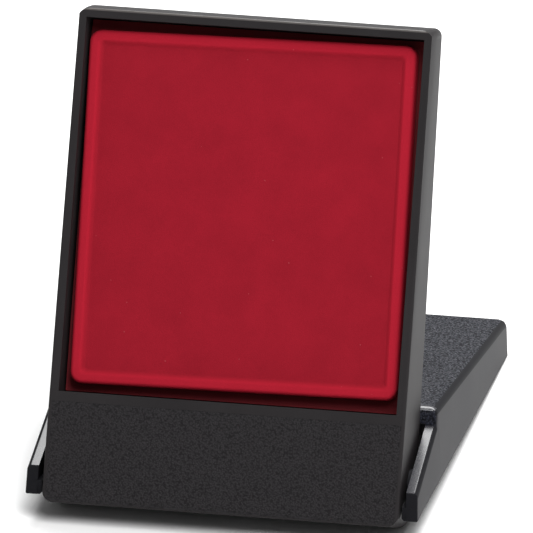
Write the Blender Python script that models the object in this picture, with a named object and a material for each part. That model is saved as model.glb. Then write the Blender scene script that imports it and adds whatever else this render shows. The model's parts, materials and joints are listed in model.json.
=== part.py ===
"""Flip-stand presentation case: a wedge-shaped tray with a flocked insert, and a lid that turns
right round its hinge to lie behind the tray as the foot of the stand.

Metres, +Z up. The case stands open: -Y faces the viewer, +X is the viewer's right, and the
origin is the bottom centre of the bounding box. Both halves are modelled about the hinge axis,
which runs along X.
"""

import math

import bmesh
import bpy
from mathutils import Matrix, Vector

MM = 0.001
FIT_GAP = 0.3 * MM

# Both halves are wedges: the tray's back and the lid's top slope by this much.
WEDGE = math.tan(math.radians(5.75))

# Tray. Heights run up the front face from its bottom edge, depths run back from that face.
TRAY_WIDTH = 87.0 * MM
TRAY_HEIGHT = 119.0 * MM
TRAY_DEPTH = 24.85 * MM
TRAY_TOP_DRAFT = 0.11
TRAY_WALL = 2.25 * MM
TRAY_FRONT_RADIUS = 0.62 * MM
TRAY_CORNER_RADIUS = 2.0 * MM
TRAY_LEAN = math.radians(20.7)
WELL_BOTTOM = 26.8 * MM
WELL_TOP = 116.85 * MM
CHIN_TOP = 24.4 * MM
LEDGE_WIDTH = 1.5 * MM
LEDGE_THICKNESS = 1.2 * MM
COVER_THICKNESS = 1.8 * MM
COVER_BOTTOM = 12.8 * MM
HEEL_STEPS = 8

# Hinge axis in the tray's heights and depths, and along and above the lid's rim.
PIVOT_HEIGHT = 10.25 * MM
PIVOT_DEPTH = 11.1 * MM
PIVOT_ALONG = 11.37 * MM
PIVOT_UP = 4.97 * MM

# Lid. Lengths run along the rim from the tips of the ears, heights stand on the rim.
LID_LENGTH = 123.0 * MM
LID_HALF_WIDTH = 47.93 * MM
LID_DRAFT = 0.035
LID_SIDE_WALL = 2.8 * MM
LID_TOP_WALL = 2.0 * MM
LID_FAR_WALL = 1.8 * MM
EAR_TIP = (1.2 * MM, 6.9 * MM)
END_WALL_FOOT = (27.4 * MM, 14.9 * MM)
END_WALL_HEIGHT = 4.05 * MM
END_WALL_THICKNESS = 2.0 * MM
END_WALL_RADIUS = 1.6 * MM
LID_EDGE_RADIUS = 2.0 * MM
LID_FAR_RADIUS = 2.4 * MM
EAR_EDGE_RADIUS = 0.8 * MM
EAR_NUB = (1.0 * MM, 6.0 * MM, 3.3 * MM)     # reach, length and height
EAR_BOSS_RADIUS = 4.0 * MM

# Hinge pins.
PIN_RADIUS = 1.5 * MM
PIN_CLEARANCE = 0.2 * MM
PIN_HEAD_RADIUS = 2.8 * MM
PIN_HEAD_THICKNESS = 1.4 * MM
PIN_SOCKET_FLOOR = 0.9 * MM
ROUND_STEPS = 24

# Flocked insert: a raised border round a shallow centre panel, on a flange in the well.
PAD_HALF_WIDTH = 39.9 * MM
PAD_HALF_HEIGHT = 42.55 * MM
PAD_TURN = math.radians(0.9)
PAD_SHIFT = (-0.2 * MM, 0.3 * MM)            # towards +X and up the tray
PAD_DEPTH = 3.0 * MM
PAD_BORDER = 2.2 * MM
PAD_SLOPE = 1.4 * MM
PAD_RECESS = 0.9 * MM
PAD_SHOULDER = 1.0 * MM
PAD_CORNER_RADIUS = 3.0 * MM
FLANGE_DEPTH = 7.3 * MM
SHEET_THICKNESS = 1.0 * MM
PAD_FLOOR = 5.1 * MM

# Foam sheet and flocked card inside the lid.
LINING_HALF_WIDTH = 38.5 * MM
LINING_HALF_LENGTH = 41.5 * MM
LINING_CORNER_RADIUS = 2.0 * MM
FOAM_THICKNESS = 2.0 * MM
LINER_THICKNESS = 1.0 * MM

BEVEL_WIDTH = LID_FAR_RADIUS
BEVEL_SEGMENTS = 3
CORNER_STEPS = 4
CUT_MARGIN = 5.0 * MM
SMOOTH_ANGLE = math.radians(35)


def clear_scene():
    for old in list(bpy.data.objects):
        bpy.data.objects.remove(old, do_unlink=True)


def material(name, colour, roughness, metallic=0.0):
    made = bpy.data.materials.new(name)
    made.use_nodes = True
    shader = made.node_tree.nodes["Principled BSDF"]
    shader.inputs["Base Color"].default_value = (*colour, 1.0)
    shader.inputs["Roughness"].default_value = roughness
    shader.inputs["Metallic"].default_value = metallic
    made.diffuse_color = (*colour, 1.0)
    return made


def finish_object(name, builder, parent, finish):
    """Turn a bmesh into a smooth-shaded object that hangs on one of the two halves."""
    bmesh.ops.recalc_face_normals(builder, faces=builder.faces)
    mesh = bpy.data.meshes.new(name)
    builder.to_mesh(mesh)
    builder.free()
    mesh.shade_smooth()
    mesh.set_sharp_from_angle(angle=SMOOTH_ANGLE)
    made = bpy.data.objects.new(name, mesh)
    bpy.context.scene.collection.objects.link(made)
    made.parent = parent
    if finish:
        made.data.materials.append(finish)
    return made


def add_prism(builder, outline, half_width, draft):
    """Extrude a side outline of (y, z) points across X; the width shrinks upwards by the draft."""
    sides = []
    for side in (-1, 1):
        sides.append([builder.verts.new((side * (half_width - draft * z), y, z)) for y, z in outline])
    for corner, (left, right) in enumerate(zip(*sides)):
        following = (corner + 1) % len(outline)
        builder.faces.new((left, right, sides[1][following], sides[0][following]))
    builder.faces.new(sides[0])
    builder.faces.new(reversed(sides[1]))
    return sides


def rounded_prism(name, outline, half_width, draft, parent, finish):
    """A prism from (y, z, corner radius, side radius) points.

    The corner radius rounds the edge across X at the point, and the side radius rounds the two
    edges that run from this point to the next one.
    """
    builder = bmesh.new()
    weight = builder.edges.layers.float.new("bevel_weight_edge")
    left, right = add_prism(builder, [point[:2] for point in outline], half_width, draft)
    for corner, (_, _, corner_radius, side_radius) in enumerate(outline):
        following = (corner + 1) % len(outline)
        across = builder.edges.get((left[corner], right[corner]))
        across[weight] = corner_radius / BEVEL_WIDTH
        for side in (left, right):
            along = builder.edges.get((side[corner], side[following]))
            along[weight] = side_radius / BEVEL_WIDTH
    made = finish_object(name, builder, parent, finish)
    bevel = made.modifiers.new("edge_rounding", "BEVEL")
    bevel.width = BEVEL_WIDTH
    bevel.segments = BEVEL_SEGMENTS
    bevel.limit_method = "WEIGHT"
    bevel.use_clamp_overlap = False
    return made


def boolean(target, name, builder, operation):
    """Combine the target with a tool solid, which stays in the scene as a hidden wire guide."""
    tool = finish_object(name, builder, target.parent, None)
    tool.display_type = "WIRE"
    tool.hide_render = True
    step = target.modifiers.new(name, "BOOLEAN")
    step.operation = operation
    step.solver = "EXACT"
    step.object = tool


def cut_prism(target, name, outline, half_width, draft=0.0):
    builder = bmesh.new()
    add_prism(builder, outline, half_width, draft)
    boolean(target, name, builder, "DIFFERENCE")


def add_rod(builder, radius, inner, outer):
    """A cylinder on the hinge axis between two X positions."""
    across = Matrix.Translation(((inner + outer) / 2, 0, 0)) @ Matrix.Rotation(math.pi / 2, 4, "Y")
    bmesh.ops.create_cone(
        builder,
        cap_ends=True,
        segments=ROUND_STEPS,
        radius1=radius,
        radius2=radius,
        depth=abs(outer - inner),
        matrix=across,
    )


def rounded_rectangle(half_x, half_u, radius):
    """Points of a rectangle with round corners, centred on the origin."""
    points = []
    for quarter in range(4):
        sign_x = (1, -1, -1, 1)[quarter]
        sign_u = (1, 1, -1, -1)[quarter]
        for step in range(CORNER_STEPS + 1):
            angle = math.pi / 2 * (quarter + step / CORNER_STEPS)
            x = sign_x * (half_x - radius) + radius * math.cos(angle)
            u = sign_u * (half_u - radius) + radius * math.sin(angle)
            points.append((x, u))
    return points


def lofted(name, rings, parent, finish):
    """Skin a closed solid through rounded rectangles of (half x, half u, radius, place).

    The place turns a rectangle's x and u into a point.
    """
    builder = bmesh.new()
    loops = []
    for half_x, half_u, radius, place in rings:
        loop = []
        for x, u in rounded_rectangle(half_x, half_u, radius):
            loop.append(builder.verts.new(place(x, u)))
        loops.append(loop)
    for lower, upper in zip(loops, loops[1:]):
        for corner in range(len(lower)):
            following = (corner + 1) % len(lower)
            builder.faces.new((lower[corner], lower[following], upper[following], upper[corner]))
    builder.faces.new(loops[0])
    builder.faces.new(loops[-1])
    return finish_object(name, builder, parent, finish)


# ---- tray coordinates ----


def tray_point(height, depth):
    return depth - PIVOT_DEPTH, height - PIVOT_HEIGHT


def tray_back(height):
    return TRAY_DEPTH - WEDGE * height


def tray_outline(points):
    return [tray_point(height, depth) for height, depth in points]


def heel_arc(height_radius, depth_radius):
    """A quarter ellipse round the hinge axis, from the back of the tray to its bottom."""
    points = []
    for step in range(HEEL_STEPS + 1):
        angle = math.pi / 2 * step / HEEL_STEPS
        height = PIVOT_HEIGHT - height_radius * math.sin(angle)
        depth = PIVOT_DEPTH + depth_radius * math.cos(angle)
        points.append((height, depth))
    return points


def heel_radii():
    return PIVOT_HEIGHT, tray_back(PIVOT_HEIGHT) - PIVOT_DEPTH


# ---- lid coordinates ----


def lid_point(along, up):
    return along - PIVOT_ALONG, up - PIVOT_UP


def lid_outline(points):
    return [lid_point(along, up) for along, up in points]


def end_wall_slope():
    """The end wall lies flat on the tray's back when the case stands."""
    return math.tan(TRAY_LEAN - math.atan(WEDGE))


def end_wall_along(up, inset=0.0):
    foot_along, foot_up = END_WALL_FOOT
    slope = end_wall_slope()
    return foot_along + slope * (up - foot_up) + inset * math.hypot(1, slope)


def lid_top(along, inset=0.0):
    crest_up = END_WALL_FOOT[1] + END_WALL_HEIGHT
    crest_along = end_wall_along(crest_up)
    return crest_up - WEDGE * (along - crest_along) - inset * math.hypot(1, WEDGE)


def far_wall_along(up, inset=0.0):
    return LID_LENGTH - LID_DRAFT * up - inset


def end_wall_under_top(inset_wall, inset_top):
    """Where the inner face of the end wall meets the underside of the top."""
    along = END_WALL_FOOT[0]
    for _ in range(20):
        up = lid_top(along, inset_top)
        along = end_wall_along(up, inset_wall)
    return along, up


def lid_half_width(wall=0.0):
    """Half the lid's width at the height of the hinge axis."""
    return LID_HALF_WIDTH - LID_DRAFT * PIVOT_UP - wall


# ---- standing pose ----


def standing_pose():
    """The tray stands on its heel and the lid's far rim touches the table.

    Gives the lid's tilt and the height of the hinge axis.
    """
    height_radius, depth_radius = heel_radii()
    tilt = 0.0
    for _ in range(20):
        lean = TRAY_LEAN + tilt
        axis_height = math.hypot(height_radius * math.cos(lean), depth_radius * math.sin(lean))
        tilt = math.asin((axis_height - PIVOT_UP * math.cos(tilt)) / (LID_LENGTH - PIVOT_ALONG))
    return tilt, axis_height


def pivot_frame(name, tilt, axis_height):
    frame = bpy.data.objects.new(name, None)
    bpy.context.scene.collection.objects.link(frame)
    frame.empty_display_size = 10 * MM
    frame.location = (0, 0, axis_height)
    frame.rotation_euler = (-tilt, 0, 0)
    return frame


# ---- tray pieces ----


def make_tray_shell(parent, finish):
    top_depth = tray_back(TRAY_HEIGHT)
    top_height = TRAY_HEIGHT + TRAY_TOP_DRAFT * top_depth
    outline = [
        (*tray_point(0, 0), TRAY_FRONT_RADIUS, TRAY_FRONT_RADIUS),
        (*tray_point(TRAY_HEIGHT, 0), TRAY_FRONT_RADIUS, TRAY_CORNER_RADIUS),
        (*tray_point(top_height, top_depth), TRAY_CORNER_RADIUS, TRAY_CORNER_RADIUS),
    ]
    for height, depth in heel_arc(*heel_radii()):
        outline.append((*tray_point(height, depth), 0.0, TRAY_CORNER_RADIUS))
    shell = rounded_prism("tray_shell", outline, TRAY_WIDTH / 2, 0.0, parent, finish)
    cut_well(shell)
    cut_cover_recess(shell)
    cut_chin_hollow(shell)
    drill_pin_holes(shell)
    return shell


def well_half_width():
    return TRAY_WIDTH / 2 - TRAY_WALL


def ledge_front(height):
    return tray_back(height) - COVER_THICKNESS - FIT_GAP - LEDGE_THICKNESS


def cut_well(shell):
    points = [
        (WELL_BOTTOM, -CUT_MARGIN),
        (WELL_TOP, -CUT_MARGIN),
        (WELL_TOP, ledge_front(WELL_TOP)),
        (WELL_BOTTOM, ledge_front(WELL_BOTTOM)),
    ]
    cut_prism(shell, "well_cut", tray_outline(points), well_half_width())
    bottom = WELL_BOTTOM + LEDGE_WIDTH
    top = WELL_TOP - LEDGE_WIDTH
    points = [
        (bottom, ledge_front(bottom) - LEDGE_THICKNESS),
        (top, ledge_front(top) - LEDGE_THICKNESS),
        (top, tray_back(top)),
        (bottom, tray_back(bottom)),
    ]
    cut_prism(shell, "ledge_cut", tray_outline(points), well_half_width() - LEDGE_WIDTH)


def cover_half_width():
    return well_half_width() - FIT_GAP / 2


def cut_cover_recess(shell):
    bottom = COVER_BOTTOM - FIT_GAP
    top = WELL_TOP + FIT_GAP
    floor = COVER_THICKNESS + FIT_GAP
    points = [
        (bottom, tray_back(bottom) - floor),
        (top, tray_back(top) - floor),
        (top, tray_back(top) + CUT_MARGIN),
        (bottom, tray_back(bottom) + CUT_MARGIN),
    ]
    cut_prism(shell, "recess_cut", tray_outline(points), cover_half_width() + FIT_GAP)


def cut_chin_hollow(shell):
    height_radius, depth_radius = heel_radii()
    inner_heel = heel_arc(height_radius - TRAY_WALL, depth_radius - 2 * TRAY_WALL)
    cover_seat = COVER_BOTTOM + LEDGE_WIDTH
    points = [
        (TRAY_WALL, TRAY_WALL),
        (CHIN_TOP, TRAY_WALL),
        (CHIN_TOP, tray_back(CHIN_TOP) - COVER_THICKNESS),
        (cover_seat, tray_back(cover_seat) - COVER_THICKNESS),
        (cover_seat, inner_heel[0][1]),
    ]
    cut_prism(shell, "chin_cut", tray_outline(points + inner_heel), well_half_width())


def drill_pin_holes(shell):
    builder = bmesh.new()
    reach = TRAY_WIDTH / 2 + CUT_MARGIN
    for side in (-1, 1):
        add_rod(builder, PIN_RADIUS + PIN_CLEARANCE, side * PIN_HEAD_RADIUS, side * reach)
    boolean(shell, "pin_hole_cut", builder, "DIFFERENCE")


def make_back_cover(parent, finish):
    top = WELL_TOP
    inner = COVER_THICKNESS
    points = [
        (COVER_BOTTOM, tray_back(COVER_BOTTOM) - inner),
        (top, tray_back(top) - inner),
        (top, tray_back(top)),
        (COVER_BOTTOM, tray_back(COVER_BOTTOM)),
    ]
    outline = [(*tray_point(*point), 0.0, 0.0) for point in points]
    return rounded_prism("back_cover", outline, cover_half_width(), 0.0, parent, finish)


def well_place(x, u, depth):
    """A point of the well, from its middle and its depth behind the tray's front face."""
    middle = (WELL_BOTTOM + WELL_TOP) / 2
    return Vector((x, *tray_point(middle + u, depth)))


def pad_ring(inset, depth, corner_radius):
    """A ring of the pad, which sits a little askew in the well."""
    shift_x, shift_u = PAD_SHIFT

    def place(x, u):
        turned_x = x * math.cos(PAD_TURN) - u * math.sin(PAD_TURN)
        turned_u = x * math.sin(PAD_TURN) + u * math.cos(PAD_TURN)
        return well_place(turned_x + shift_x, turned_u + shift_u, depth)

    return PAD_HALF_WIDTH - inset, PAD_HALF_HEIGHT - inset, corner_radius, place


def flange_ring(depth, slope=0.0):
    half_height = (WELL_TOP - WELL_BOTTOM) / 2

    def place(x, u):
        return well_place(x, u, depth - slope * u)

    return well_half_width() - FIT_GAP, half_height - FIT_GAP, FIT_GAP, place


def make_flocked_insert(parent, finish):
    shoulder = PAD_SHOULDER
    chamfer = shoulder * (1 - math.sqrt(0.5))
    rings = [
        pad_ring(PAD_BORDER + PAD_SLOPE, PAD_DEPTH + PAD_RECESS, PAD_CORNER_RADIUS / 2),
        pad_ring(PAD_BORDER, PAD_DEPTH, PAD_CORNER_RADIUS / 2),
        pad_ring(shoulder, PAD_DEPTH, PAD_CORNER_RADIUS - shoulder),
        pad_ring(chamfer, PAD_DEPTH + chamfer, PAD_CORNER_RADIUS - chamfer),
        pad_ring(0.0, PAD_DEPTH + shoulder, PAD_CORNER_RADIUS),
        pad_ring(0.0, FLANGE_DEPTH, PAD_CORNER_RADIUS),
        flange_ring(FLANGE_DEPTH),
        flange_ring(FLANGE_DEPTH + SHEET_THICKNESS),
        pad_ring(SHEET_THICKNESS, FLANGE_DEPTH + SHEET_THICKNESS, PAD_CORNER_RADIUS - SHEET_THICKNESS),
        pad_ring(SHEET_THICKNESS, PAD_FLOOR, PAD_CORNER_RADIUS - SHEET_THICKNESS),
    ]
    return lofted("flocked_insert", rings, parent, finish)


def make_insert_core(parent, finish):
    inset = SHEET_THICKNESS + FIT_GAP
    step_depth = FLANGE_DEPTH + SHEET_THICKNESS + FIT_GAP
    middle = (WELL_BOTTOM + WELL_TOP) / 2
    rings = [
        pad_ring(inset, PAD_FLOOR + FIT_GAP, PAD_CORNER_RADIUS - SHEET_THICKNESS),
        pad_ring(inset, step_depth, PAD_CORNER_RADIUS - SHEET_THICKNESS),
        flange_ring(step_depth),
        flange_ring(ledge_front(middle) - FIT_GAP, WEDGE),
    ]
    return lofted("insert_core", rings, parent, finish)


def make_hinge_pin(name, side, parent, finish):
    wall_inside = well_half_width() - FIT_GAP
    socket_end = lid_half_width() - PIN_SOCKET_FLOOR - FIT_GAP
    builder = bmesh.new()
    add_rod(builder, PIN_HEAD_RADIUS, side * (wall_inside - PIN_HEAD_THICKNESS), side * wall_inside)
    pin = finish_object(name, builder, parent, finish)
    shank = bmesh.new()
    add_rod(shank, PIN_RADIUS, side * (wall_inside - PIN_HEAD_THICKNESS / 2), side * socket_end)
    boolean(pin, name + "_shank", shank, "UNION")
    return pin


# ---- lid pieces ----


def make_lid_shell(parent, finish):
    crest_up = END_WALL_FOOT[1] + END_WALL_HEIGHT
    far_up = lid_top(LID_LENGTH)
    points = [
        ((0.0, 0.0), 0.0, EAR_EDGE_RADIUS / 2),
        (EAR_TIP, EAR_EDGE_RADIUS / 2, EAR_EDGE_RADIUS),
        (END_WALL_FOOT, 0.0, EAR_EDGE_RADIUS),
        ((end_wall_along(crest_up), crest_up), END_WALL_RADIUS, LID_EDGE_RADIUS),
        ((far_wall_along(far_up), far_up), LID_FAR_RADIUS, LID_FAR_RADIUS),
        ((LID_LENGTH, 0.0), 0.0, 0.0),
    ]
    outline = [(*lid_point(*place), corner, side) for place, corner, side in points]
    shell = rounded_prism("lid_shell", outline, lid_half_width(), LID_DRAFT, parent, finish)
    hollow_lid(shell)
    add_ear_details(shell)
    drill_pin_sockets(shell)
    return shell


def hollow_lid(shell):
    """Open the lid's inside and the space between its ears, leaving the short end wall."""
    foot_along, foot_up = END_WALL_FOOT
    inner_along = end_wall_along(foot_up, END_WALL_THICKNESS)
    crest = end_wall_under_top(END_WALL_THICKNESS, LID_TOP_WALL)
    far_up = lid_top(LID_LENGTH - LID_FAR_WALL, LID_TOP_WALL)
    points = [
        (-CUT_MARGIN, -CUT_MARGIN),
        (-CUT_MARGIN, foot_up + CUT_MARGIN),
        (foot_along - FIT_GAP, foot_up + CUT_MARGIN),
        (foot_along - FIT_GAP, foot_up + FIT_GAP),
        (inner_along, foot_up + FIT_GAP - WEDGE * (inner_along - foot_along)),
        crest,
        (far_wall_along(far_up, LID_FAR_WALL), far_up),
        (far_wall_along(-CUT_MARGIN, LID_FAR_WALL), -CUT_MARGIN),
    ]
    cut_prism(shell, "lid_cut", lid_outline(points), lid_half_width(LID_SIDE_WALL), LID_DRAFT)


def add_ear_details(shell):
    """A foot nub inside each ear's tip, and a boss that keeps the ear off the tray."""
    nub_reach, nub_length, nub_height = EAR_NUB
    chamfer = nub_reach / 2
    inside = lid_half_width(LID_SIDE_WALL)
    embed = LID_SIDE_WALL / 2
    nub_outline = [
        (inside + embed, 0.0),
        (inside - nub_reach + chamfer, 0.0),
        (inside - nub_reach, chamfer),
        (inside - nub_reach, nub_height),
        (inside + embed, nub_height),
    ]
    nubs = bmesh.new()
    for side in (-1, 1):
        ends = []
        for along in (0.0, nub_length):
            y, base = lid_point(along, 0.0)
            ends.append([nubs.verts.new((side * x, y, base + up)) for x, up in nub_outline])
        for corner in range(len(nub_outline)):
            following = (corner + 1) % len(nub_outline)
            nubs.faces.new((ends[0][corner], ends[0][following], ends[1][following], ends[1][corner]))
        nubs.faces.new(ends[0])
        nubs.faces.new(ends[1])
    boolean(shell, "ear_nubs", nubs, "UNION")
    bosses = bmesh.new()
    for side in (-1, 1):
        add_rod(bosses, EAR_BOSS_RADIUS, side * (TRAY_WIDTH / 2 + FIT_GAP), side * (inside + embed))
    boolean(shell, "ear_bosses", bosses, "UNION")


def drill_pin_sockets(shell):
    builder = bmesh.new()
    for side in (-1, 1):
        add_rod(
            builder,
            PIN_RADIUS + PIN_CLEARANCE,
            side * PIN_HEAD_RADIUS,
            side * (lid_half_width() - PIN_SOCKET_FLOOR),
        )
    boolean(shell, "pin_socket_cut", builder, "DIFFERENCE")


def lining_ring(depth):
    """A ring that lies the depth below the inner face of the lid's top."""
    closed_middle = (WELL_BOTTOM + WELL_TOP) / 2 - PIVOT_HEIGHT

    def place(x, u):
        along = PIVOT_ALONG + closed_middle + u
        up = lid_top(along, LID_TOP_WALL + depth)
        return Vector((x, *lid_point(along, up)))

    return LINING_HALF_WIDTH, LINING_HALF_LENGTH, LINING_CORNER_RADIUS, place


def make_lining(name, top, thickness, parent, finish):
    rings = [lining_ring(top), lining_ring(top + thickness)]
    return lofted(name, rings, parent, finish)


# ---- assembly ----


def bounds():
    """Lowest and highest corners of the finished pieces in the world."""
    bpy.context.view_layer.update()
    graph = bpy.context.evaluated_depsgraph_get()
    corners = []
    for piece in bpy.context.scene.objects:
        if piece.type == "MESH" and not piece.hide_render:
            shaped = piece.evaluated_get(graph)
            corners += [shaped.matrix_world @ vertex.co for vertex in shaped.data.vertices]
    lowest = Vector([min(corner[axis] for corner in corners) for axis in range(3)])
    highest = Vector([max(corner[axis] for corner in corners) for axis in range(3)])
    return lowest, highest


def stand_on_origin(frames):
    """Move both halves together until the bottom centre of the whole case is the origin."""
    lowest, highest = bounds()
    shift = Vector(((lowest.x + highest.x) / 2, (lowest.y + highest.y) / 2, lowest.z))
    for frame in frames:
        frame.location -= shift
    bpy.context.view_layer.update()


def main():
    clear_scene()
    tray_plastic = material("tray_plastic", (0.028, 0.026, 0.027), 0.42)
    lid_plastic = material("lid_plastic", (0.034, 0.034, 0.038), 0.38)
    cover_plastic = material("cover_plastic", (0.026, 0.025, 0.026), 0.5)
    red_flock = material("red_flock", (0.31, 0.012, 0.022), 0.95)
    liner_flock = material("liner_flock", (0.012, 0.012, 0.013), 0.95)
    core_foam = material("core_foam", (0.45, 0.45, 0.46), 0.9)
    lid_foam = material("lid_foam", (0.32, 0.32, 0.33), 0.9)
    pin_steel = material("pin_steel", (0.55, 0.55, 0.56), 0.3, 1.0)

    tilt, axis_height = standing_pose()
    tray = pivot_frame("tray_frame", TRAY_LEAN + tilt, axis_height)
    lid = pivot_frame("lid_frame", tilt, axis_height)

    make_tray_shell(tray, tray_plastic)
    make_back_cover(tray, cover_plastic)
    make_flocked_insert(tray, red_flock)
    make_insert_core(tray, core_foam)
    make_hinge_pin("hinge_pin_left", -1, tray, pin_steel)
    make_hinge_pin("hinge_pin_right", 1, tray, pin_steel)

    make_lid_shell(lid, lid_plastic)
    make_lining("lid_foam", FIT_GAP, FOAM_THICKNESS, lid, lid_foam)
    make_lining("lid_liner", FOAM_THICKNESS + 2 * FIT_GAP, LINER_THICKNESS, lid, liner_flock)

    stand_on_origin((tray, lid))


main()
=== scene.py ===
"""Looks of the flip-stand presentation case: detailed shells, flocked insert and liner, procedural
materials, and a plain studio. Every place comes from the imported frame: the hinge from its joint,
and the lean of the two halves from the mounts on their faces.
"""

import json
import math

import bmesh
import bpy
from mathutils import Matrix, Vector, noise


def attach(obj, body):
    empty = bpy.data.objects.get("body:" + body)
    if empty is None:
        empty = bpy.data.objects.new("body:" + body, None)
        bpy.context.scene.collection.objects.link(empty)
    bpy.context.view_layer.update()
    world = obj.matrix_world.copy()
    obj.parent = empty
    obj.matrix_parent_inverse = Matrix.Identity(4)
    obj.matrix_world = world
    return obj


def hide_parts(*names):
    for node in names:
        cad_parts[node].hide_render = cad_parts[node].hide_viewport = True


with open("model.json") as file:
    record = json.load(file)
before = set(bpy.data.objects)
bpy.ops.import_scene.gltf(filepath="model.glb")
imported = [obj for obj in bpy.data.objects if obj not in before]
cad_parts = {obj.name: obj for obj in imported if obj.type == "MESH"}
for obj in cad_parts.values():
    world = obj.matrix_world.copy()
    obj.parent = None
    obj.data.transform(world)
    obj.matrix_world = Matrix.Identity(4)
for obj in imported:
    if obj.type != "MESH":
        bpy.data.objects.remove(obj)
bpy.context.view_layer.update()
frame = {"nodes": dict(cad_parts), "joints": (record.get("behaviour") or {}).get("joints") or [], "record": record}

MM = 0.001

# ---- the two halves, as the CAD has them ----

WEDGE = math.tan(math.radians(5.75))
FIT_GAP = 0.3 * MM

TRAY_WIDTH = 87.0 * MM
TRAY_HEIGHT = 119.0 * MM
TRAY_DEPTH = 24.85 * MM
TRAY_TOP_DRAFT = 0.11
TRAY_WALL = 2.25 * MM
TRAY_FRONT_RADIUS = 0.62 * MM
TRAY_CORNER_RADIUS = 2.0 * MM
WELL_BOTTOM = 26.8 * MM
WELL_TOP = 116.85 * MM
CHIN_TOP = 24.4 * MM
LEDGE_WIDTH = 1.5 * MM
LEDGE_THICKNESS = 1.2 * MM
COVER_THICKNESS = 1.8 * MM
COVER_BOTTOM = 12.8 * MM
HEEL_STEPS = 24

PIVOT_HEIGHT = 10.25 * MM
PIVOT_DEPTH = 11.1 * MM
PIVOT_ALONG = 11.37 * MM
PIVOT_UP = 4.97 * MM

LID_LENGTH = 123.0 * MM
LID_HALF_WIDTH = 47.93 * MM
LID_DRAFT = 0.035
LID_SIDE_WALL = 2.8 * MM
LID_TOP_WALL = 2.0 * MM
LID_FAR_WALL = 1.8 * MM
EAR_TIP = (1.2 * MM, 6.9 * MM)
END_WALL_FOOT = (27.4 * MM, 14.9 * MM)
END_WALL_HEIGHT = 4.05 * MM
CREST_UP = END_WALL_FOOT[1] + END_WALL_HEIGHT
END_WALL_THICKNESS = 2.0 * MM
END_WALL_RADIUS = 1.6 * MM
LID_EDGE_RADIUS = 2.0 * MM
LID_FAR_RADIUS = 2.4 * MM
EAR_EDGE_RADIUS = 0.8 * MM
EAR_NUB = (1.0 * MM, 6.0 * MM, 3.3 * MM)
EAR_BOSS_RADIUS = 4.0 * MM
PIN_HOLE_RADIUS = 1.7 * MM
PIN_HEAD_RADIUS = 2.8 * MM
PIN_SOCKET_FLOOR = 0.9 * MM

PAD_HALF_WIDTH = 39.9 * MM
PAD_HALF_HEIGHT = 42.55 * MM
PAD_TURN = math.radians(0.9)
PAD_SHIFT = (-0.2 * MM, 0.3 * MM)            # towards +X and up the tray
PAD_DEPTH = 3.0 * MM
PAD_BORDER = 2.2 * MM
PAD_SLOPE = 1.4 * MM
PAD_RECESS = 0.9 * MM
PAD_SHOULDER = 1.0 * MM
PAD_CORNER_RADIUS = 3.0 * MM
FLANGE_DEPTH = 7.3 * MM
SHEET_THICKNESS = 1.0 * MM

LINING_HALF_WIDTH = 38.5 * MM
LINING_HALF_LENGTH = 41.5 * MM
LINING_CORNER_RADIUS = 2.0 * MM
FOAM_THICKNESS = 2.0 * MM
LINER_THICKNESS = 1.0 * MM

# ---- fineness of the detailed pieces ----

BEVEL_WIDTH = LID_FAR_RADIUS
BEVEL_SEGMENTS = 8
SMALL_SEGMENTS = 4
WINDOW_EDGE_RADIUS = 0.3 * MM
RIM_EDGE_RADIUS = 0.4 * MM
NEAR = 0.01 * MM
SHARP_ANGLE = math.radians(28)
ROUND_STEPS = 64
CORNER_STEPS = 12
CUT_MARGIN = 5.0 * MM
GRAIN_STEP = 0.12 * MM
BORDER_ATTRIBUTE = "pressed_border"
PAD_STRAIGHT_STEPS = 70
FINE_INSET = 0.2 * MM
COARSE_INSET = 1.4 * MM
SMALLEST_RADIUS = 0.3 * MM
INNER_CORNER_RADIUS = 1.0 * MM
FOOT_RADIUS = 0.5 * MM
FOOT_STEPS = 3
PAD_WAVE = 0.06 * MM
PAD_WAVE_SCALE = 55.0
PAD_NAP = 0.02 * MM
PAD_NAP_SCALE = 900.0
PAD_NAP_SEED = 3.0
SHEET_SHARP_ANGLE = math.radians(50)
LEAD_IN = (0.45 * MM, 4.0 * MM)              # across and back, at the tray's top
NUB_SETBACK = 0.5 * MM
FRONT_CORNER_RADIUS = 3.7 * MM               # at CUT_MARGIN ahead of the front
FRONT_CORNER_REACH = 6.0 * MM                # where it has shrunk to TRAY_CORNER_RADIUS
EAR_FILLET = 1.2 * MM
POLISHED_STRIP = 2.2 * MM                    # on the lid's top, behind the crest
SOLVE_STEPS = 20
LINING_STRAIGHT_STEPS = 24
LINING_EDGE_RADIUS = 0.6 * MM
LINING_EDGE_STEPS = 4
LINING_SMALLEST_RADIUS = 0.4 * MM
LINING_RINGS = 15
LINING_RING_STEP = 2.4 * MM
LINER_CROWN = 0.1 * MM
LINER_SWELL_SCALE = 70.0

# ---- which faces get which finish, from the outward normal in the half's own axes ----

# DARK faces get painted shade.
# On the tray, BRIGHT faces get a painted highlight; on the lid, BRIGHT is a glossy finish.
SATIN, GRAINED, BRIGHT, DARK = range(4)
PAD, FLANGE = range(2)
FILLET_FACING = (-0.97, -0.05)               # along y, on the top front fillet
PANEL_FACING = -0.9
EAR_TOP_FACING = 0.7
EAR_END_FACING = -0.7
EAR_FILLET_FACING = (0.15, 0.1)              # sideways and up
CREST_FACING = 0.75
SHOULDER_FACING = (0.35, 0.2)                # sideways and up
TOP_FACING = 0.25
END_WALL_FACING = -0.8


def record_mount(name):
    return next(mount for mount in frame["record"]["mounts"] if mount["name"] == name)


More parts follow.
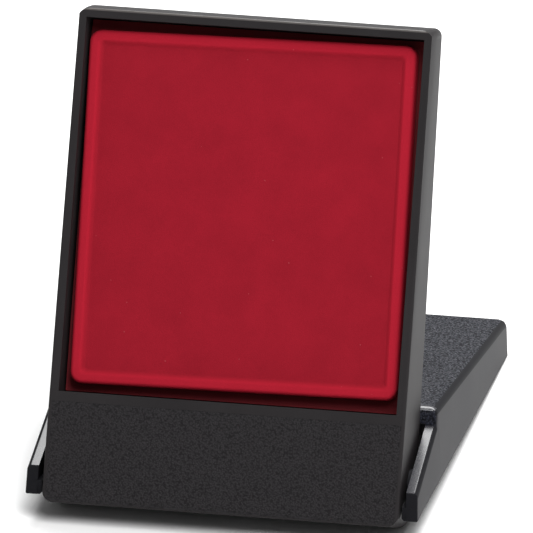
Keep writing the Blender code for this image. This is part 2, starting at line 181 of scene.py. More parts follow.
HINGE = Vector(frame["joints"][0]["pos_m"])
FRONT_NORMAL = Vector(record_mount("display_face")["axis"])
LID_NORMAL = Vector(record_mount("lid_face")["axis"])
TRAY_LEAN = math.asin(FRONT_NORMAL.z)
LID_TILT = math.atan2(LID_NORMAL.y, LID_NORMAL.z) - math.atan(WEDGE)
TRAY_PLACE = Matrix.Translation(HINGE) @ Matrix.Rotation(-TRAY_LEAN, 4, "X")
LID_PLACE = Matrix.Translation(HINGE) @ Matrix.Rotation(-LID_TILT, 4, "X")


# ---- mesh tools ----


def new_object(name, builder):
    bmesh.ops.recalc_face_normals(builder, faces=builder.faces)
    mesh = bpy.data.meshes.new(name)
    builder.to_mesh(mesh)
    builder.free()
    made = bpy.data.objects.new(name, mesh)
    bpy.context.scene.collection.objects.link(made)
    return made


def settle(piece, place):
    """Apply a piece's modifiers, and put its mesh at its place in the frame."""
    bpy.context.view_layer.update()
    graph = bpy.context.evaluated_depsgraph_get()
    shaped = bpy.data.meshes.new_from_object(piece.evaluated_get(graph))
    piece.modifiers.clear()
    piece.data = shaped
    shaped.transform(place)
    return piece


def add_prism(builder, outline, half_width, draft):
    """Extrude a side outline of (y, z) points across X; the width shrinks upwards by the draft."""
    sides = []
    for side in (-1, 1):
        sides.append([builder.verts.new((side * (half_width - draft * z), y, z)) for y, z in outline])
    for corner, (left, right) in enumerate(zip(*sides)):
        following = (corner + 1) % len(outline)
        builder.faces.new((left, right, sides[1][following], sides[0][following]))
    builder.faces.new(sides[0])
    builder.faces.new(reversed(sides[1]))
    return sides


def rounded_prism(name, outline, half_width, draft):
    """A prism from (y, z, corner radius, side radius) points, its edges rounded by those radii."""
    builder = bmesh.new()
    weight = builder.edges.layers.float.new("bevel_weight_edge")
    left, right = add_prism(builder, [point[:2] for point in outline], half_width, draft)
    for corner, (_, _, corner_radius, side_radius) in enumerate(outline):
        following = (corner + 1) % len(outline)
        across = builder.edges.get((left[corner], right[corner]))
        across[weight] = corner_radius / BEVEL_WIDTH
        for side in (left, right):
            along = builder.edges.get((side[corner], side[following]))
            along[weight] = side_radius / BEVEL_WIDTH
    made = new_object(name, builder)
    bevel = made.modifiers.new("edge_rounding", "BEVEL")
    bevel.width = BEVEL_WIDTH
    bevel.segments = BEVEL_SEGMENTS
    bevel.limit_method = "WEIGHT"
    bevel.use_clamp_overlap = False
    return made


def combine(target, builder, operation):
    """Join a tool solid to the target, or cut it out, and throw the tool away."""
    tool = new_object("tool", builder)
    step = target.modifiers.new("combine", "BOOLEAN")
    step.operation = operation
    step.solver = "EXACT"
    step.object = tool
    settle(target, Matrix.Identity(4))
    bpy.data.objects.remove(tool, do_unlink=True)


def cut_prism(target, outline, half_width, draft=0.0):
    builder = bmesh.new()
    add_prism(builder, outline, half_width, draft)
    combine(target, builder, "DIFFERENCE")


def add_rod(builder, radius, inner, outer):
    """A cylinder on the hinge axis between two X positions."""
    across = Matrix.Translation(((inner + outer) / 2, 0, 0)) @ Matrix.Rotation(math.pi / 2, 4, "Y")
    bmesh.ops.create_cone(
        builder,
        cap_ends=True,
        segments=ROUND_STEPS,
        radius1=radius,
        radius2=radius,
        depth=abs(outer - inner),
        matrix=across,
    )


def shade(piece):
    piece.data.shade_smooth()
    piece.data.set_sharp_from_angle(angle=SHARP_ANGLE)


def round_edges(piece, radius, chosen):
    """Round the edges between the pairs of points that chosen accepts."""
    weight = piece.data.attributes.new("bevel_weight_edge", "FLOAT", "EDGE")
    points = piece.data.vertices
    for edge, value in zip(piece.data.edges, weight.data):
        first, second = (points[index].co for index in edge.vertices)
        value.value = float(chosen(first, second))
    bevel = piece.modifiers.new("edge_rounding", "BEVEL")
    bevel.width = radius
    bevel.segments = SMALL_SEGMENTS
    bevel.limit_method = "WEIGHT"
    bevel.use_clamp_overlap = False
    settle(piece, Matrix.Identity(4))


# ---- tray and lid coordinates, about the hinge axis ----


def tray_point(height, depth):
    return depth - PIVOT_DEPTH, height - PIVOT_HEIGHT


def tray_outline(points):
    return [tray_point(height, depth) for height, depth in points]


def tray_back(height):
    return TRAY_DEPTH - WEDGE * height


def heel_arc(height_radius, depth_radius):
    points = []
    for step in range(HEEL_STEPS + 1):
        angle = math.pi / 2 * step / HEEL_STEPS
        height = PIVOT_HEIGHT - height_radius * math.sin(angle)
        depth = PIVOT_DEPTH + depth_radius * math.cos(angle)
        points.append((height, depth))
    return points


def heel_radii():
    return PIVOT_HEIGHT, tray_back(PIVOT_HEIGHT) - PIVOT_DEPTH


def well_half_width():
    return TRAY_WIDTH / 2 - TRAY_WALL


def ledge_front(height):
    return tray_back(height) - COVER_THICKNESS - FIT_GAP - LEDGE_THICKNESS


def lid_point(along, up):
    return along - PIVOT_ALONG, up - PIVOT_UP


def lid_outline(points):
    return [lid_point(along, up) for along, up in points]


def end_wall_slope():
    return math.tan(TRAY_LEAN - LID_TILT - math.atan(WEDGE))


def end_wall_along(up, inset=0.0):
    foot_along, foot_up = END_WALL_FOOT
    slope = end_wall_slope()
    return foot_along + slope * (up - foot_up) + inset * math.hypot(1, slope)


def lid_top(along, inset=0.0):
    crest_along = end_wall_along(CREST_UP)
    return CREST_UP - WEDGE * (along - crest_along) - inset * math.hypot(1, WEDGE)


def far_wall_along(up, inset=0.0):
    return LID_LENGTH - LID_DRAFT * up - inset


def end_wall_under_top(inset_wall, inset_top):
    """Where the inner face of the end wall meets the underside of the top."""
    along = END_WALL_FOOT[0]
    for _ in range(SOLVE_STEPS):
        up = lid_top(along, inset_top)
        along = end_wall_along(up, inset_wall)
    return along, up


def lid_half_width(wall=0.0):
    return LID_HALF_WIDTH - LID_DRAFT * PIVOT_UP - wall


# ---- materials: texture scales are per metre ----

HAZE_SCALE = 38.0
HAZE_SHADES = (0.88, 1.14)
HAZE_GLOSS = 0.12
MATT_SCALE = 4200.0
MATT_DEPTH = 0.012 * MM
GRAIN_WARP_SCALE = 0.55                      # of the pebbles' own scale
GRAIN_WARP = 0.7                             # of a pebble
SMALL_PEBBLE_SCALE = 2.3
SMALL_PEBBLE_DEPTH = -0.3
CREASE_ROUGHNESS = 0.85
MOTTLE_SCALE = 120.0
MOTTLE_SHADES = (0.94, 1.06)
FIBRE_SCALE = 5200.0
FIBRE_DEPTH = 0.10 * MM
FIBRE_SHADES = ((0.80, 0.80, 0.80), (1.0, 1.0, 1.0))
LINT_SCALE = 260.0
LINT_SIZE = 0.028
LINT_COVER = 0.5
FOAM_CELL_SCALE = 1500.0
FOAM_PIT_SHADE = 0.5
FOAM_CELL_DEPTH = 0.2 * MM
STEEL_MARK_SCALE = 3000.0
STEEL_MARK_DEPTH = 0.02 * MM
STEEL_DARK = (0.42, 0.42, 0.43)
STEEL_LIGHT = (0.62, 0.62, 0.63)
STEEL_GLOSS = 0.2
LOW_STOP, HIGH_STOP = 0.3, 0.7               # noise rarely leaves this middle part of its range


def node_material(name):
    made = bpy.data.materials.new(name)
    made.use_nodes = True
    tree = made.node_tree
    return made, tree, tree.nodes["Principled BSDF"]


def add(tree, kind, **values):
    """A new node; values that name its sockets set them, and the others set its properties."""
    node = tree.nodes.new(kind)
    for key, value in values.items():
        socket = key.replace("_", " ")
        if socket in node.inputs:
            node.inputs[socket].default_value = value
        else:
            setattr(node, key, value)
    return node


def ramp(tree, source, stops):
    """A colour ramp with (position, colour) stops."""
    node = tree.nodes.new("ShaderNodeValToRGB")
    elements = node.color_ramp.elements
    elements[0].position, elements[0].color = stops[0][0], (*stops[0][1], 1)
    elements[1].position, elements[1].color = stops[-1][0], (*stops[-1][1], 1)
    for position, colour in stops[1:-1]:
        elements.new(position).color = (*colour, 1)
    tree.links.new(source, node.inputs["Fac"])
    return node.outputs["Color"]


def noise_on(tree, vector, scale, detail=2.0, roughness=0.5):
    node = add(tree, "ShaderNodeTexNoise", Scale=scale, Detail=detail, Roughness=roughness)
    tree.links.new(vector, node.inputs["Vector"])
    return node.outputs["Fac"]


def cells_on(tree, vector, scale, feature="F1"):
    node = add(tree, "ShaderNodeTexVoronoi", Scale=scale)
    node.feature = feature
    tree.links.new(vector, node.inputs["Vector"])
    return node.outputs["Distance"]


def shades(colour, gains):
    """Darker and lighter versions of a colour."""
    return [tuple(channel * gain for channel in colour) for gain in gains]


def math_on(tree, operation, first, second=None):
    node = tree.nodes.new("ShaderNodeMath")
    node.operation = operation
    for value, socket in zip((first, second), node.inputs):
        if value is None:
            continue
        if isinstance(value, (int, float)):
            socket.default_value = value
        else:
            tree.links.new(value, socket)
    return node.outputs["Value"]


def bump_with(tree, shader, height, distance, strength=1.0):
    node = add(tree, "ShaderNodeBump", Strength=strength, Distance=distance)
    tree.links.new(height, node.inputs["Height"])
    tree.links.new(node.outputs["Normal"], shader.inputs["Normal"])


def object_coordinates(tree):
    return tree.nodes.new("ShaderNodeTexCoord").outputs["Object"]


def smooth_plastic(name, colour, roughness, specular):
    """Moulded plastic with a fine matt texture, faint flow marks and handling haze."""
    made, tree, shader = node_material(name)
    where = object_coordinates(tree)
    haze = noise_on(tree, where, HAZE_SCALE, detail=4.0, roughness=0.6)
    fine = noise_on(tree, where, MATT_SCALE, detail=2.0, roughness=0.6)
    dark, light = shades(colour, HAZE_SHADES)
    tint = ramp(tree, haze, ((LOW_STOP, dark), (HIGH_STOP, light)))
    tree.links.new(tint, shader.inputs["Base Color"])
    spread = math_on(tree, "MULTIPLY", haze, HAZE_GLOSS)
    gloss = math_on(tree, "ADD", spread, roughness - HAZE_GLOSS / 2)
    tree.links.new(gloss, shader.inputs["Roughness"])
    shader.inputs["Specular IOR Level"].default_value = specular
    bump_with(tree, shader, fine, MATT_DEPTH, strength=0.5)
    return made


def grained_plastic(name, colour, roughness, specular, depth, scale, relief_shading):
    """Moulded plastic with a leather grain: rounded pebbles between fine creases, painted darker in the creases as
    shade and lighter on the crests as light.
    """
    made, tree, shader = node_material(name)
    where = object_coordinates(tree)
    warp = add(tree, "ShaderNodeTexNoise", Scale=scale * GRAIN_WARP_SCALE, Detail=2.0)
    tree.links.new(where, warp.inputs["Vector"])
    bend = add(tree, "ShaderNodeVectorMath", operation="MULTIPLY_ADD")
    tree.links.new(warp.outputs["Color"], bend.inputs[0])
    bend.inputs[1].default_value = (GRAIN_WARP / scale,) * 3
    tree.links.new(where, bend.inputs[2])
    bent = bend.outputs["Vector"]
    pebbles = cells_on(tree, bent, scale, "SMOOTH_F1")
    small = cells_on(tree, bent, scale * SMALL_PEBBLE_SCALE, "SMOOTH_F1")
    height = math_on(tree, "SUBTRACT", 1.0, pebbles)
    height = math_on(tree, "ADD", height, math_on(tree, "MULTIPLY", small, SMALL_PEBBLE_DEPTH))
    # Painted shade in the creases and painted light on the crests, graded by the grain's height.
    crease, crest = shades(colour, (1 - relief_shading, 1 + relief_shading))
    tint = ramp(tree, height, ((0.2, crease), (0.75, crest)))
    tree.links.new(tint, shader.inputs["Base Color"])
    matt = (CREASE_ROUGHNESS,) * 3
    gloss = (roughness,) * 3
    tree.links.new(ramp(tree, height, ((0.25, matt), (0.7, gloss))), shader.inputs["Roughness"])
    shader.inputs["Specular IOR Level"].default_value = specular
    bump_with(tree, shader, height, depth)
    return made


def colour_mix(tree, factor, under, over, blend="MIX"):
    """Mix two colours, each a socket or a plain colour, by a factor socket or number."""
    node = add(tree, "ShaderNodeMix", data_type="RGBA", blend_type=blend)
    for value, socket in ((factor, "Factor"), (under, "A"), (over, "B")):
        if isinstance(value, bpy.types.NodeSocket):
            tree.links.new(value, node.inputs[socket])
        elif isinstance(value, tuple):
            node.inputs[socket].default_value = (*value, 1)
        else:
            node.inputs[socket].default_value = value
    return node.outputs["Result"]


def flock(name, colour, bright, lint, border_gain):
    """Short dense fibres: faintly mottled, with a few lint specks, painted darker deep between the fibres as
    shade, and lighter at grazing angles and where the sheet was pressed over the border."""
    made, tree, shader = node_material(name)
    where = object_coordinates(tree)
    mottle = noise_on(tree, where, MOTTLE_SCALE, detail=4.0, roughness=0.6)
    fibre = noise_on(tree, where, FIBRE_SCALE, detail=2.0, roughness=0.7)
    dark, light = shades(colour, MOTTLE_SHADES)
    nap = ramp(tree, mottle, ((LOW_STOP, dark), (HIGH_STOP, light)))
    edge = add(tree, "ShaderNodeAttribute", attribute_name=BORDER_ATTRIBUTE)
    pressed = math_on(tree, "MULTIPLY", edge.outputs["Fac"], border_gain)
    lifted = colour_mix(tree, pressed, nap, bright)
    near = math_on(tree, "LESS_THAN", cells_on(tree, where, LINT_SCALE), LINT_SIZE)
    specked = colour_mix(tree, math_on(tree, "MULTIPLY", near, LINT_COVER), lifted, lint)
    # Painted shade: the nap darkens where the fibres' height is low, the same height that bumps them.
    deep, open_ends = FIBRE_SHADES
    between = ramp(tree, fibre, ((0.25, deep), (0.75, open_ends)))
    shaded = colour_mix(tree, 1.0, specked, between, "MULTIPLY")
    tree.links.new(shaded, shader.inputs["Base Color"])
    shader.inputs["Roughness"].default_value = 0.95
    shader.inputs["Specular IOR Level"].default_value = 0.08
    shader.inputs["Sheen Weight"].default_value = 0.35
    shader.inputs["Sheen Roughness"].default_value = 0.45
    shader.inputs["Sheen Tint"].default_value = (*bright, 1)
    bump_with(tree, shader, fibre, FIBRE_DEPTH, strength=0.5)
    return made


def foam(name, colour):
    """Cut foam with fine open cells."""
    made, tree, shader = node_material(name)
    where = object_coordinates(tree)
    cells = cells_on(tree, where, FOAM_CELL_SCALE)
    pits = tuple(channel * FOAM_PIT_SHADE for channel in colour)
    tree.links.new(ramp(tree, cells, ((0.1, pits), (0.5, colour))), shader.inputs["Base Color"])
    shader.inputs["Roughness"].default_value = 0.9
    bump_with(tree, shader, cells, FOAM_CELL_DEPTH, strength=0.8)
    return made


def steel(name):
    """Drawn wire steel with fine turning marks."""
    made, tree, shader = node_material(name)
    where = object_coordinates(tree)
    marks = noise_on(tree, where, STEEL_MARK_SCALE, detail=3.0, roughness=0.6)
    tint = ramp(tree, marks, ((LOW_STOP, STEEL_DARK), (HIGH_STOP, STEEL_LIGHT)))
    tree.links.new(tint, shader.inputs["Base Color"])
    shader.inputs["Metallic"].default_value = 1.0
    spread = math_on(tree, "MULTIPLY", marks, STEEL_GLOSS)
    tree.links.new(math_on(tree, "ADD", spread, STEEL_GLOSS), shader.inputs["Roughness"])
    bump_with(tree, shader, marks, STEEL_MARK_DEPTH, strength=0.4)
    return made


TRAY_SMOOTH = smooth_plastic("tray_satin", (0.021, 0.019, 0.020), roughness=0.52, specular=0.12)
# Painted highlight: the lighter beige colour stands in for the light caught along the top front fillet; its higher
# gloss is the finish's own.
TRAY_FILLET_HIGHLIGHT = smooth_plastic(
    "tray_fillet_painted_highlight", (0.055, 0.048, 0.045), roughness=0.30, specular=0.6
)
TRAY_GRAIN = grained_plastic(
    "tray_grain", (0.019, 0.0175, 0.019), roughness=0.45, specular=0.15,
    depth=0.10 * MM, scale=2500.0, relief_shading=0.4,
)
LID_SMOOTH = smooth_plastic("lid_satin", (0.024, 0.023, 0.026), roughness=0.60, specular=0.2)
# Near-black painted shade, for the rounding along the lid's top, round and inside the ears and on the ears' front
# ends.
LID_PAINTED_SHADE = smooth_plastic("lid_painted_shade", (0.008, 0.008, 0.010), roughness=0.65, specular=0.1)
LID_POLISHED = smooth_plastic(
    "lid_polished_edges", (0.018, 0.018, 0.024), roughness=0.27, specular=0.8
)
# The lid grain's blue cast is a painted reflection; its darkness is the plastic's own.
LID_GRAIN = grained_plastic(
    "lid_grain", (0.0110, 0.0122, 0.0195), roughness=0.28, specular=0.16,
    depth=0.34 * MM, scale=2100.0, relief_shading=0.8,
)
COVER_GRAIN = grained_plastic(
    "cover_grain", (0.018, 0.017, 0.018), roughness=0.4, specular=0.3,
    depth=0.05 * MM, scale=1800.0, relief_shading=0.4,
)
RED_FLOCK = flock(
    "red_flock_nap", (0.310, 0.010, 0.022), bright=(0.47, 0.014, 0.032), lint=(0.55, 0.20, 0.22),
    border_gain=0.8,
)
# The flange's darker red is painted shade: it lies deep in the gap round the pad.
FLANGE_SHADE_FLOCK = flock(
    "flange_painted_shade_nap", (0.20, 0.024, 0.030), bright=(0.20, 0.024, 0.030), lint=(0.10, 0.05, 0.05),
    border_gain=0.0,
)
BLACK_FLOCK = flock(
    "black_flock_nap", (0.012, 0.012, 0.013), bright=(0.030, 0.030, 0.033), lint=(0.10, 0.10, 0.10),
    border_gain=0.0,
)
CORE_FOAM = foam("core_foam_cells", (0.45, 0.45, 0.46))
LID_FOAM = foam("lid_foam_cells", (0.32, 0.32, 0.33))
PIN_STEEL = steel("pin_steel_drawn")


def paint(piece, finishes, choose):
    """Give each face one of the finishes, by the index that choose returns for it."""
    piece.data.materials.clear()
    for finish in finishes:
        piece.data.materials.append(finish)
    for face in piece.data.polygons:
        face.material_index = choose(face.center, face.normal)


# ---- tray ----


def tray_local(center, normal):
    """A face's height, depth and outward normal in the tray's own axes."""
    inverse = TRAY_PLACE.inverted()
    here = inverse @ center
    facing = inverse.to_3x3() @ normal
    return here.z + PIVOT_HEIGHT, here.y + PIVOT_DEPTH, facing


def make_tray_shell():
    top_depth = tray_back(TRAY_HEIGHT)
    top_height = TRAY_HEIGHT + TRAY_TOP_DRAFT * top_depth
    outline = [
        (*tray_point(0, 0), TRAY_FRONT_RADIUS, TRAY_FRONT_RADIUS),
        (*tray_point(TRAY_HEIGHT, 0), TRAY_FRONT_RADIUS, TRAY_CORNER_RADIUS),
        (*tray_point(top_height, top_depth), TRAY_CORNER_RADIUS, TRAY_CORNER_RADIUS),
    ]
    for height, depth in heel_arc(*heel_radii()):
        outline.append((*tray_point(height, depth), 0.0, TRAY_CORNER_RADIUS))
    shell = rounded_prism("tray_shell_detailed", outline, TRAY_WIDTH / 2, 0.0)
    settle(shell, Matrix.Identity(4))
    cut_well(shell)
    cut_cover_recess(shell)
    cut_chin_hollow(shell)
    drill_pin_holes(shell)
    cut_front_corners(shell)
    cut_grain_panel(shell)
    cut_lead_in(shell)
    round_edges(shell, WINDOW_EDGE_RADIUS, is_window_edge)
    shade(shell)
    settle(shell, TRAY_PLACE)

    def choose(center, normal):
        height, depth, facing = tray_local(center, normal)
        on_front = depth < TRAY_FRONT_RADIUS
        flattest, steepest = FILLET_FACING
        on_fillet = on_front and flattest < facing.y < steepest
        # The top front fillet gets the lighter colour, a painted highlight.
        if on_fillet and height > WELL_TOP + TRAY_WALL / 2:
            return BRIGHT
        return GRAINED if on_front and facing.y < PANEL_FACING and height < CHIN_TOP else SATIN

    paint(shell, (TRAY_SMOOTH, TRAY_GRAIN, TRAY_FILLET_HIGHLIGHT), choose)
    return shell


def cut_well(shell):
    points = [
        (WELL_BOTTOM, -CUT_MARGIN),
        (WELL_TOP, -CUT_MARGIN),
        (WELL_TOP, ledge_front(WELL_TOP)),
        (WELL_BOTTOM, ledge_front(WELL_BOTTOM)),
    ]
    cut_prism(shell, tray_outline(points), well_half_width())
    bottom = WELL_BOTTOM + LEDGE_WIDTH
    top = WELL_TOP - LEDGE_WIDTH
    points = [
        (bottom, ledge_front(bottom) - LEDGE_THICKNESS),
        (top, ledge_front(top) - LEDGE_THICKNESS),
        (top, tray_back(top)),
        (bottom, tray_back(bottom)),
    ]
    cut_prism(shell, tray_outline(points), well_half_width() - LEDGE_WIDTH)


def cut_cover_recess(shell):
    """Cut the back cover's seat, a little inside the rounding along the shell's back."""
    bottom = COVER_BOTTOM - FIT_GAP
    top = WELL_TOP + FIT_GAP
    floor = COVER_THICKNESS + FIT_GAP
    points = [
        (bottom, tray_back(bottom) - floor),
        (top, tray_back(top) - floor),
        (top, tray_back(top) + CUT_MARGIN),
        (bottom, tray_back(bottom) + CUT_MARGIN),
    ]
    cut_prism(shell, tray_outline(points), well_half_width() - FIT_GAP / 4)


def cut_chin_hollow(shell):
    height_radius, depth_radius = heel_radii()
    inner_heel = heel_arc(height_radius - TRAY_WALL, depth_radius - 2 * TRAY_WALL)
    cover_seat = COVER_BOTTOM + LEDGE_WIDTH
    points = [
        (TRAY_WALL, TRAY_WALL),
        (CHIN_TOP, TRAY_WALL),
        (CHIN_TOP, tray_back(CHIN_TOP) - COVER_THICKNESS),
        (cover_seat, tray_back(cover_seat) - COVER_THICKNESS),
        (cover_seat, inner_heel[0][1]),
    ]
    cut_prism(shell, tray_outline(points + inner_heel), well_half_width())


def drill_pin_holes(shell):
    builder = bmesh.new()
    reach = TRAY_WIDTH / 2 + CUT_MARGIN
    for side in (-1, 1):
        add_rod(builder, PIN_HOLE_RADIUS, side * PIN_HEAD_RADIUS, side * reach)
    combine(shell, builder, "DIFFERENCE")


def is_window_edge(first, second):
    """Whether an edge lies on the front, along the well's opening."""
    front = -PIVOT_DEPTH
    for point in (first, second):
        height = point.z + PIVOT_HEIGHT
        from_side = abs(point.x) - well_half_width()
        on_side = abs(from_side) < NEAR and WELL_BOTTOM - NEAR < height < WELL_TOP + NEAR
        on_end = min(abs(height - WELL_BOTTOM), abs(height - WELL_TOP)) < NEAR
        if abs(point.y - front) > NEAR or not (on_side or (on_end and from_side < NEAR)):
            return False
    return True


def cut_grain_panel(shell):
    """Sink the chin's grained panel a shade below the smooth frame round it."""
    margin = TRAY_FRONT_RADIUS + 2 * GRAIN_STEP
    points = [
        (margin, -CUT_MARGIN),
        (CHIN_TOP, -CUT_MARGIN),
        (CHIN_TOP, GRAIN_STEP / 2),
        (margin, GRAIN_STEP / 2),
    ]
    cut_prism(shell, tray_outline(points), TRAY_WIDTH / 2 - margin)


def cut_front_corners(shell):
    """Round the front's outline at its four corners, to meet the rounding behind them."""
    for side in (-1, 1):
        cut_front_corner(shell, side, edge_height=0.0, inwards=1, draft=0.0)
        cut_front_corner(shell, side, edge_height=TRAY_HEIGHT, inwards=-1, draft=TRAY_TOP_DRAFT)


def corner_section(radius):
    """The (x, z) outline of what is cut off a lower right corner, leaving a round of that radius."""
    middle = TRAY_WIDTH / 2 - radius
    outside = TRAY_WIDTH / 2 + CUT_MARGIN
    section = [(outside, -CUT_MARGIN), (middle, -CUT_MARGIN)]
    for step in range(CORNER_STEPS + 1):
        angle = math.pi / 2 * step / CORNER_STEPS
        section.append((middle + radius * math.sin(angle), radius * (1 - math.cos(angle))))
    section.append((outside, radius))
    return section


def cut_front_corner(shell, side, edge_height, inwards, draft):
    """Cut off one corner; the round left there shrinks towards the back to the shell's own."""
    sections = ((-CUT_MARGIN, FRONT_CORNER_RADIUS), (FRONT_CORNER_REACH, TRAY_CORNER_RADIUS))
    builder = bmesh.new()
    ends = []
    for depth, radius in sections:
        edge = edge_height + draft * depth
        end = []
        for x, z in corner_section(radius):
            end.append(builder.verts.new((side * x, *tray_point(edge + inwards * z, depth))))
        ends.append(end)
    skin(builder, ends)
    builder.faces.new(ends[0])
    builder.faces.new(ends[1])
    combine(shell, builder, "DIFFERENCE")


def cut_lead_in(shell):
    """Shave a slim taper off the front of each side wall: widest at the top, none at the chin."""
    across, back = LEAD_IN
    half = TRAY_WIDTH / 2
    reach = TRAY_HEIGHT + CUT_MARGIN
    grown = (reach - WELL_BOTTOM) / (TRAY_HEIGHT - WELL_BOTTOM)
    for side in (-1, 1):
        builder = bmesh.new()
        foot = builder.verts.new((side * half, *tray_point(WELL_BOTTOM, 0.0)))
        top_back = builder.verts.new((side * half, *tray_point(reach, back * grown)))
        top_front = builder.verts.new((side * (half - across * grown), *tray_point(reach, 0.0)))
        outer = builder.verts.new((side * (half + CUT_MARGIN), *tray_point(reach, -CUT_MARGIN)))
        corners = (foot, top_back, top_front, outer)
        for skipped in range(4):
            builder.faces.new(corners[:skipped] + corners[skipped + 1:])
        combine(shell, builder, "DIFFERENCE")


# ---- flocked insert ----


def eased(value):
    value = min(max(value, 0.0), 1.0)
    return value * value * (3 - 2 * value)


def pad_depth(inset, x, u):
    """Depth of the flocked face behind the tray's front, from the distance inside the pad's edge."""
    shoulder = max(PAD_SHOULDER - inset, 0.0)
    depth = PAD_DEPTH + PAD_SHOULDER - math.sqrt(max(PAD_SHOULDER**2 - shoulder**2, 0.0))
    step = eased((inset - PAD_BORDER) / PAD_SLOPE)
    depth += PAD_RECESS * step
    wave = noise.noise(Vector((x, u, 0.0)) * PAD_WAVE_SCALE) * PAD_WAVE
    nap = noise.noise(Vector((x, u, PAD_NAP_SEED)) * PAD_NAP_SCALE) * PAD_NAP
    return depth + wave * step + nap


def well_place(x, u, depth):
    middle = (WELL_BOTTOM + WELL_TOP) / 2
    return Vector((x, *tray_point(middle + u, depth)))


def pad_place(x, u, depth):
    """A point of the pad, which sits a little askew in the well."""
    shift_x, shift_u = PAD_SHIFT
    turned_x = x * math.cos(PAD_TURN) - u * math.sin(PAD_TURN)
    turned_u = x * math.sin(PAD_TURN) + u * math.cos(PAD_TURN)
    return well_place(turned_x + shift_x, turned_u + shift_u, depth)


def rounded_loop(half_x, half_u, radius, straight):
    """Points round a rectangle with round corners, with the straights divided as well."""
    corners = []
    signs = ((1, 1), (-1, 1), (-1, -1), (1, -1))
    for quarter, (sign_x, sign_u) in enumerate(signs):
        for step in range(CORNER_STEPS + 1):
            angle = math.pi / 2 * (quarter + step / CORNER_STEPS)
            x = sign_x * (half_x - radius) + radius * math.cos(angle)
            u = sign_u * (half_u - radius) + radius * math.sin(angle)
            corners.append((x, u, step == CORNER_STEPS))
    points = []
    for index, (x, u, ends_corner) in enumerate(corners):
        points.append((x, u))
        if ends_corner:
            next_x, next_u, _ = corners[(index + 1) % len(corners)]
            for step in range(1, straight):
                part = step / straight
                points.append((x + (next_x - x) * part, u + (next_u - u) * part))
    return points


def skin(builder, loops):
    for lower, upper in zip(loops, loops[1:]):
        for corner in range(len(lower)):
            following = (corner + 1) % len(lower)
            builder.faces.new((lower[corner], lower[following], upper[following], upper[corner]))


def make_flocked_insert():
    """A formed sheet: flange, side, rounded shoulder, border, slope and centre panel."""
    builder = bmesh.new()
    border = builder.verts.layers.float.new(BORDER_ATTRIBUTE)
    loops = []

    def ring(half_x, half_u, radius, place, depth_at, pressed):
        loop = []
        for x, u in rounded_loop(half_x, half_u, radius, PAD_STRAIGHT_STEPS):
            point = builder.verts.new(place(x, u, depth_at(x, u)))
            point[border] = pressed
            loop.append(point)
        loops.append(loop)

    def level(inset, depth):
        half_x = PAD_HALF_WIDTH - inset
        half_u = PAD_HALF_HEIGHT - inset
        radius = max(PAD_CORNER_RADIUS - max(inset, 0.0), SMALLEST_RADIUS)
        ring(half_x, half_u, radius, pad_place, lambda x, u: depth, 1.0)

    def flange(depth):
        half_x = well_half_width() - FIT_GAP
        half_u = (WELL_TOP - WELL_BOTTOM) / 2 - FIT_GAP
        ring(half_x, half_u, SMALLEST_RADIUS, well_place, lambda x, u: depth, 1.0)

    back = FLANGE_DEPTH + SHEET_THICKNESS
    level(SHEET_THICKNESS, PAD_DEPTH + PAD_RECESS + SHEET_THICKNESS)
    level(SHEET_THICKNESS, back)
    flange(back)
    flange(FLANGE_DEPTH)
    for step in range(FOOT_STEPS + 1):
        angle = math.pi / 2 * step / FOOT_STEPS
        level(FOOT_RADIUS * (math.sin(angle) - 1), FLANGE_DEPTH - FOOT_RADIUS * (1 - math.cos(angle)))
    level(0.0, PAD_DEPTH + PAD_SHOULDER + SHEET_THICKNESS)
    inset = 0.0
    while inset < PAD_HALF_WIDTH - SMALLEST_RADIUS:
        def depth_at(x, u, inset=inset):
            return pad_depth(inset, x, u)

        radius = max(PAD_CORNER_RADIUS - inset, INNER_CORNER_RADIUS)
        radius = min(radius, PAD_HALF_WIDTH - inset)
        pressed = 1 - eased((inset - PAD_BORDER) / PAD_SLOPE)
        ring(PAD_HALF_WIDTH - inset, PAD_HALF_HEIGHT - inset, radius, pad_place, depth_at, pressed)
        inset += FINE_INSET if inset < PAD_BORDER + 2 * PAD_SLOPE else COARSE_INSET
    skin(builder, loops)
    builder.faces.new(loops[0])
    builder.faces.new(loops[-1])
    insert = new_object("flocked_insert_detailed", builder)
    settle(insert, TRAY_PLACE)
    insert.data.shade_smooth()
    insert.data.set_sharp_from_angle(angle=SHEET_SHARP_ANGLE)

    # The flange, deep in the well, gets the darker painted-shade flock.
    def choose(center, normal):
        _, depth, _ = tray_local(center, normal)
        return FLANGE if depth > FLANGE_DEPTH - FOOT_RADIUS else PAD

    paint(insert, (RED_FLOCK, FLANGE_SHADE_FLOCK), choose)
    return insert


# ---- lid ----


